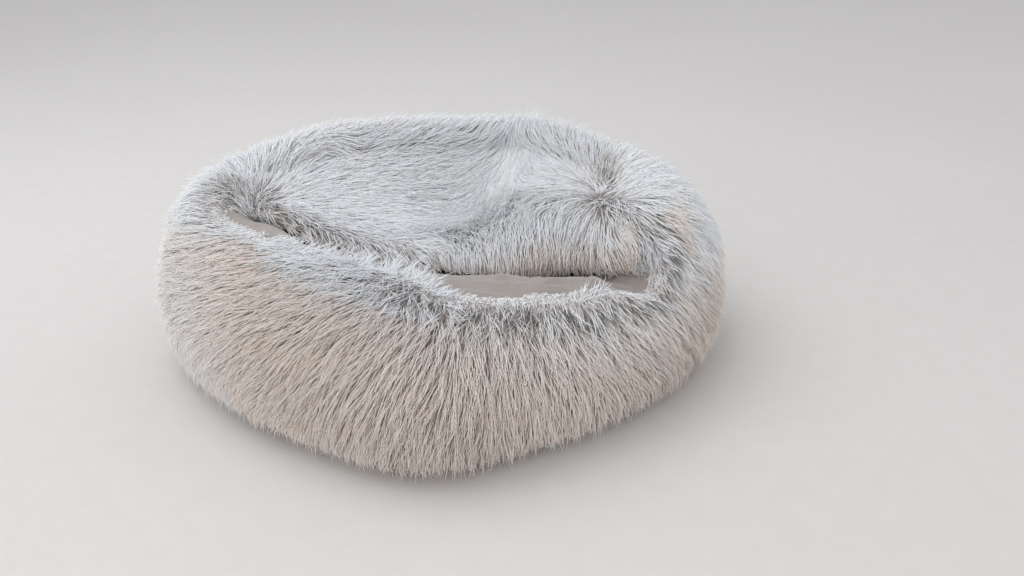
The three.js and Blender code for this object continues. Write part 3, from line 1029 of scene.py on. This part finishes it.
# %% The tree that grows pile
INPUTS = {
    "Hairs per square metre": ("NodeSocketFloat", 205000.0),
    "Locks per square metre": ("NodeSocketFloat", 48000.0),
    "Steps": ("NodeSocketInt", 3),
    "Hair radius": ("NodeSocketFloat", 0.00054),
    "Sway": ("NodeSocketFloat", 0.28),
    "Wander": ("NodeSocketFloat", 0.2),
    "Lock pull": ("NodeSocketFloat", 0.28),
    "Flick": ("NodeSocketFloat", 0.004),
    "Patch": ("NodeSocketInt", 0),
    "Seed": ("NodeSocketInt", 1),
    "Hair": ("NodeSocketMaterial", None),
}
VECTOR = "FLOAT_VECTOR"
LOCK_SEED = 77
WANDER_SCALE = 28.0
LEAST_HEIGHT = 1.5 * MM
MOST_HEIGHT = 210 * MM


pile_tree = bpy.data.node_groups.new("long_pile", "GeometryNodeTree")
node = partial(add, pile_tree)
value = partial(math_node, pile_tree)
vector = partial(vector_node, pile_tree)


def geometry(kind, inputs=None, **options):
    """The first output of a new geometry node."""
    return node("GeometryNode" + kind, inputs, **options).outputs[0]


def read(name, kind="FLOAT"):
    """What is stored by this name on each point."""
    return geometry("InputNamedAttribute", {"Name": name}, data_type=kind)


def write(points, name, what, kind="FLOAT", domain="POINT"):
    """Store something by this name on each point."""
    inputs = {"Geometry": points, "Name": name, "Value": what}
    return geometry("StoreNamedAttribute", inputs, data_type=kind, domain=domain)


def chance(low, high, seed, owner):
    """A random number, the same for all points with one owner."""
    inputs = {2: low, 3: high, "ID": owner, "Seed": seed}
    return node("FunctionNodeRandomValue", inputs, data_type="FLOAT").outputs[1]


def direction(seed, owner):
    """A random direction, the same for all points with one owner."""
    inputs = {0: (-1, -1, -1), 1: (1, 1, 1), "ID": owner, "Seed": seed}
    return node("FunctionNodeRandomValue", inputs, data_type=VECTOR).outputs[0]


interface = pile_tree.interface
interface.new_socket("Skin", in_out="INPUT", socket_type="NodeSocketGeometry")
interface.new_socket("Pile", in_out="OUTPUT", socket_type="NodeSocketGeometry")
for name, (kind, plain) in INPUTS.items():
    socket = interface.new_socket(name, in_out="INPUT", socket_type=kind)
    if plain is not None:
        socket.default_value = plain
given = node("NodeGroupInput").outputs
skin, steps = given["Skin"], given["Steps"]


def nearest(what, place):
    """What the skin holds at the spot nearest to a place."""
    inputs = {"Mesh": skin, "Value": what, "Sample Position": place}
    return node("GeometryNodeSampleNearestSurface", inputs, data_type=VECTOR).outputs["Value"]


print("tree with", len(INPUTS) + 1, "inputs")

# %% Roots and locks
# Roots lie all over this patch of the skin, and the middles of the locks all over the whole skin.
patch = {2: read("patch", "INT"), 3: given["Patch"]}
here = node("FunctionNodeCompare", patch, data_type="INT", operation="EQUAL").outputs[0]
density = value("MULTIPLY", given["Hairs per square metre"], read("fullness"))
spread = {"Mesh": skin, "Selection": here, "Density": density, "Seed": given["Seed"]}
roots = geometry("DistributePointsOnFaces", spread)
spread = {"Mesh": skin, "Density": given["Locks per square metre"], "Seed": LOCK_SEED}
locks = geometry("DistributePointsOnFaces", spread)

# Each hair knows its root, its lock and its own length and tone.
place = geometry("InputPosition")
index = geometry("InputIndex")
lock = geometry("SampleNearest", {"Geometry": locks, "Sample Position": place})
inputs = {"Geometry": locks, "Value": place, "Index": lock}
lock_place = geometry("SampleIndex", inputs, data_type=VECTOR)
restless = value("MULTIPLY", given["Sway"], read("unrest"))
sway = vector("SCALE", direction(5, lock), scale=restless)
hair_length = value("MULTIPLY", read("pile"), chance(0.65, 1.0, 2, index))
hair_rise = value("MULTIPLY", read("rise"), chance(0.3, 1.1, 3, index))
hair_rise = value("MULTIPLY", hair_rise, chance(0.75, 1.0, 8, lock))
# The tone carries the skin's frosted tips and painted light, with a random shift per lock and per hair
tone = value("ADD", read("frost"), chance(-0.12, 0.12, 6, lock))
tone = value("ADD", tone, chance(-0.25, 0.25, 4, index), clamp=True)
# Painted shade: each lock takes its own share of the skin's painted shade, so shaded hairs come in dark
# streaks
shade_share = value("ADD", chance(-0.3, 1.5, 9, lock), chance(-0.3, 0.3, 10, index), clamp=True)
points = write(roots, "root", place, VECTOR)
points = write(points, "aside", vector("SUBTRACT", place, lock_place), VECTOR)
points = write(points, "sway", sway, VECTOR)
points = write(points, "flick", direction(7, index), VECTOR)
points = write(points, "hair_length", hair_length)
points = write(points, "hair_rise", hair_rise)
points = write(points, "tone", tone)
points = write(points, "shade", value("MULTIPLY", shade_share, read("depth")))
print("roots:", len(pile_tree.nodes), "nodes so far")

# %% A line of points on each root
# It has one point more than it has steps, and all its points are at the root at first.
line = geometry("CurvePrimitiveLine", {"Start": (0, 0, 0), "End": (0, 0, 1)})
count = value("ADD", steps, 1.0)
line = geometry("ResampleCurve", {"Curve": line, "Count": count})
hairs = geometry("InstanceOnPoints", {"Points": points, "Instance": line})
hairs = geometry("RealizeInstances", {"Geometry": hairs})
step_number = node("GeometryNodeSplineParameter").outputs["Index"]
hairs = write(hairs, "step_number", step_number)
hairs = write(hairs, "along", value("DIVIDE", step_number, steps))
root = read("root", VECTOR)
hairs = geometry("SetPosition", {"Geometry": hairs, "Position": root})
print("lines:", len(pile_tree.nodes), "nodes so far")

# %% Creep over the skin, one step at a time
first = node("GeometryNodeRepeatInput")
last = node("GeometryNodeRepeatOutput")
first.pair_with_output(last)
pile_tree.links.new(steps, first.inputs["Iterations"])
pile_tree.links.new(hairs, first.inputs["Geometry"])
out = read("out", VECTOR)
comb = nearest(read("comb", VECTOR), place)
wander = node("ShaderNodeTexNoise", {"Vector": place, "Scale": WANDER_SCALE, "Detail": 2.0})
wander = vector("SUBTRACT", wander.outputs["Color"], (0.5, 0.5, 0.5))
wander = vector("SCALE", wander, scale=value("MULTIPLY", given["Wander"], 4.0))
way = vector("ADD", comb, read("sway", VECTOR))
way = vector("NORMALIZE", vector("ADD", way, wander))
step = value("DIVIDE", read("hair_length"), steps)
free = vector("ADD", place, vector("SCALE", way, scale=step))
settled = nearest(place, free)
normal = nearest(out, free)
over = vector("SUBTRACT", free, settled)
lifted = vector("SCALE", normal, scale=vector("DOT_PRODUCT", over, normal))
settled = vector("ADD", settled, vector("SUBTRACT", over, lifted))
numbers = {0: read("step_number"), 1: first.outputs["Iteration"]}
waiting = node("FunctionNodeCompare", numbers, data_type="FLOAT", operation="GREATER_THAN")
inputs = {"Geometry": first.outputs["Geometry"], "Selection": waiting.outputs[0]}
moved = geometry("SetPosition", {**inputs, "Position": settled})
pile_tree.links.new(moved, last.inputs["Geometry"])
print("creeping:", len(pile_tree.nodes), "nodes so far")

# %% Lift each hair off the skin, draw it towards its lock and flick its tip
along = read("along")
left_over = value("SUBTRACT", 1.0, along)
lift = value("SUBTRACT", 1.0, value("POWER", left_over, 1.5))
lift = value("MULTIPLY", lift, read("hair_rise"))
raised = vector("SCALE", nearest(out, place), scale=lift)
pull = value("MULTIPLY", given["Lock pull"], read("clump"), clamp=True)
pull = value("MULTIPLY", value("POWER", along, 1.3), pull)
drawn = vector("SCALE", read("aside", VECTOR), scale=pull)
curl = value("MULTIPLY", value("POWER", along, 2.0), given["Flick"])
curl = value("MULTIPLY", curl, value("MULTIPLY_ADD", read("unrest"), 0.4, 0.75))
flicked = vector("SCALE", read("flick", VECTOR), scale=curl)
final = vector("SUBTRACT", vector("ADD", place, raised), drawn)
final = vector("ADD", final, flicked)

# It stays off the floor and inside the height that the model may have.
final = vector("MAXIMUM", final, (-9, -9, LEAST_HEIGHT))
final = vector("MINIMUM", final, (9, 9, MOST_HEIGHT))
inputs = {"Geometry": last.outputs["Geometry"], "Position": final}
hairs = geometry("SetPosition", inputs)
print("lifting:", len(pile_tree.nodes), "nodes so far")

# %% A thin three-sided body that tapers to the tip, with its map and its finish
taper = value("POWER", value("MULTIPLY_ADD", left_over, 0.96, 0.04), 0.6)
radius = value("MULTIPLY", given["Hair radius"], taper)
hairs = geometry("SetCurveRadius", {"Curve": hairs, "Radius": radius})
profile = geometry("CurvePrimitiveCircle", {"Resolution": 3, "Radius": 1.0})
body = node("GeometryNodeCurveToMesh", {"Curve": hairs, "Profile Curve": profile})
if "Scale" in body.inputs:
    pile_tree.links.new(radius, body.inputs["Scale"])
pile = geometry("SetShadeSmooth", {"Geometry": body.outputs[0]})
shade = read("shade")
# Painted shade: v runs from root to tip, but where shade is painted it stays near the dark root for more
# of the hair, and where painted light makes the shade below zero it moves towards the pale tip
lit = value("POWER", along, value("MULTIPLY_ADD", shade, 5.0, 1.0))
lit = value("MULTIPLY", lit, value("MULTIPLY_ADD", shade, -0.6, 1.0))
hair_map = node("ShaderNodeCombineXYZ", {"X": read("tone"), "Y": lit}).outputs[0]
pile = write(pile, HAIR_MAP, hair_map, "FLOAT2", "CORNER")
pile = geometry("RealizeInstances", {"Geometry": pile})
pile = geometry("SetMaterial", {"Geometry": pile, "Material": given["Hair"]})
node("NodeGroupOutput", {"Pile": pile})
print("tree of", len(pile_tree.nodes), "nodes")

# %% Grow one patch
SCRATCH = """
    root aside sway flick hair_length hair_rise tone shade along step_number
    from_lip out comb pile rise unrest clump frost depth fullness patch
""".split()


def forget_scratch(mesh):
    for name in SCRATCH:
        if name in mesh.attributes:
            mesh.attributes.remove(mesh.attributes[name])


def grow(skin, name, **settings):
    """Grow pile on one patch of a skin and return it as a plain mesh piece."""
    holder = put(name, skin.data)
    modifier = holder.modifiers.new("pile", "NODES")
    modifier.node_group = pile_tree
    sockets = {s.name: s.identifier for s in interface.items_tree if s.in_out == "INPUT"}
    for label, value in {"Hair": hair_material, **settings}.items():
        modifier[sockets[label]] = value
    mesh = evaluated_mesh(holder, name)
    bpy.data.objects.remove(holder)
    forget_scratch(mesh)
    piece = put(name, mesh)
    print(name, sum(len(p.vertices) - 2 for p in mesh.polygons), "triangles")
    return piece


def keep_patches(mesh, numbers):
    """Say for each face which patch it is in."""
    attribute = mesh.attributes.get("patch") or mesh.attributes.new("patch", "INT", "FACE")
    attribute.data.foreach_set("value", np.array(numbers, np.int32))


def face_centers(mesh):
    centers = np.empty(len(mesh.polygons) * 3, np.float32)
    mesh.polygons.foreach_get("center", centers)
    return centers.reshape(-1, 3).astype(float)


# %% [markdown]
# ## Pile on the wall
# The cover is one long fur all the way round. As one piece it would be very heavy, so it is grown in
# nine patches, each with its own seed. They share one comb and one set of locks, so no border shows.

# %% Pile on the wall
WALL_PATCHES = ["right", "back_right", "back", "back_left", "left"]
WALL_PATCHES += ["front_left", "front", "front", "front_right"]
PATCH_DEGREES = 360 // len(WALL_PATCHES)
centers = face_centers(wall_skin_mesh)[:, :2] - WALL_MIDDLE
angles = np.degrees(np.arctan2(centers[:, 1], centers[:, 0]))
keep_patches(wall_skin_mesh, ((angles + PATCH_DEGREES / 2) % 360) // PATCH_DEGREES)
for number, side in enumerate(WALL_PATCHES):
    pile = grow(wall_skin, f"wall_pile_{number + 1}_{side}", Patch=number, Seed=number + 1)
    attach(pile, "nest")

# %% [markdown]
# ## Fringe along the lip
# Loose white hairs stand up over the lip and lie along it, towards the right. The rest of the lip in
# front has short ones, which cover the cut edge of the fur. They could be part of the wall's pile, but
# they lie another way, so they grow from the same skin once more, with a comb of their own.

# %% Fringe along the lip
FRINGE_WIDTH = 12 * MM
FRINGE_LEFT, FRINGE_RIGHT = -230 * MM, 200 * MM
TALL_PATCH, LOW_PATCH = 1, 2

fringe_mesh = wall_skin_mesh.copy()
places, normals = points_of(fringe_mesh)
outwards = outwards_from_middle(places)
x = places[:, 0]
tall = smoothstep(0.03, -0.02, x) * smoothstep(-0.165, -0.15, x) + 0.28 * bell(x - 0.142, 0.011)
along_lip = np.column_stack([-outwards[:, 1], outwards[:, 0], outwards[:, 2]])
inwards = -falling(places, normals) * tall[:, None]
keep(fringe_mesh, "comb", unit(0.75 * inwards + 0.75 * along_lip + 0.25 * normals))
keep(fringe_mesh, "frost", np.full(len(x), PALEST))
keep(fringe_mesh, "pile", (4 + 23 * tall) * MM)
keep(fringe_mesh, "rise", (1 + 9 * tall) * MM)
keep(fringe_mesh, "depth", np.zeros(len(x)))
from_lip = kept(fringe_mesh, "from_lip")


def fringe_patch(face):
    corners = list(face.vertices)
    in_front = behind_mouth(face.center) < 0 and FRINGE_LEFT < face.center.x < FRINGE_RIGHT
    if not in_front or from_lip[corners].mean() >= FRINGE_WIDTH:
        return 0
    return TALL_PATCH if tall[corners].mean() > 0.05 else LOW_PATCH


keep_patches(fringe_mesh, [fringe_patch(face) for face in fringe_mesh.polygons])
fringe_skin = bpy.data.objects.new("fringe_skin", fringe_mesh)
for name, patch, flick in (("lip_fringe", TALL_PATCH, 6 * MM), ("lip_edge", LOW_PATCH, 1.2 * MM)):
    settings = {"Hairs per square metre": 420000.0, "Sway": 0.4, "Flick": flick}
    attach(grow(fringe_skin, name, Patch=patch, Seed=31, **settings), "nest")
bpy.data.objects.remove(fringe_skin)

# %% [markdown]
# ## Pile on the hood
# The hood's front lifts and its back stays. Cut along the hinge, its fur would tear open there, so it
# is grown in three patches side by side, left, middle and right, which keep the places they were grown
# in.

# %% Pile on the hood
HOOD_PATCHES = ["left", "middle", "right"]
HOOD_CUTS = [-60 * MM, 70 * MM]


def blend_hood(piece):
    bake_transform(piece)


keep_patches(hood_skin_mesh, np.digitize(face_centers(hood_skin_mesh)[:, 0], HOOD_CUTS))
for number, side in enumerate(HOOD_PATCHES):
    blend_hood(grow(hood_skin, f"hood_pile_{side}", Patch=number, Seed=number + 11))

# %% [markdown]
# ## The cloths under the pile
# Last come the stuffed pieces: both skins, both linings, the pad and the cushion. The wall's pieces,
# the pad and the cushion are attached to the nest, and the solids that each stands for are hidden.
# The table also lists a slot and how firmly each is filled, which are not used here.

# %% Skins, linings, pad and cushion
PADDED = [
    (wall_skin, "long_pile", 0.7, ["wall_fur", "wall_filling"]),
    (wall_plush, "short_pile", 0.7, ["wall_lining", "lip_piping"]),
    (base_pad, "grip_cloth", 0.3, ["base_cloth", "base_wadding", "nest_floor"]),
    (cushion, "short_pile", 0.6, ["cushion_top_cloth", "cushion_bottom_cloth", "cushion_filling"]),
    (hood_skin, "long_pile", 0.3, ["canopy_fur", "canopy_wadding", "hood_fur", "hood_wadding"]),
    (hood_plush, "short_pile", 0.3, ["canopy_lining", "hood_lining"]),
]
for piece, slot, fill, solids in PADDED:
    forget_scratch(piece.data)
    if piece in (hood_skin, hood_plush):
        blend_hood(piece)
    else:
        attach(piece, "nest")
    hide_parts(*solids)
    print(piece.name, "stands for", ", ".join(solids))
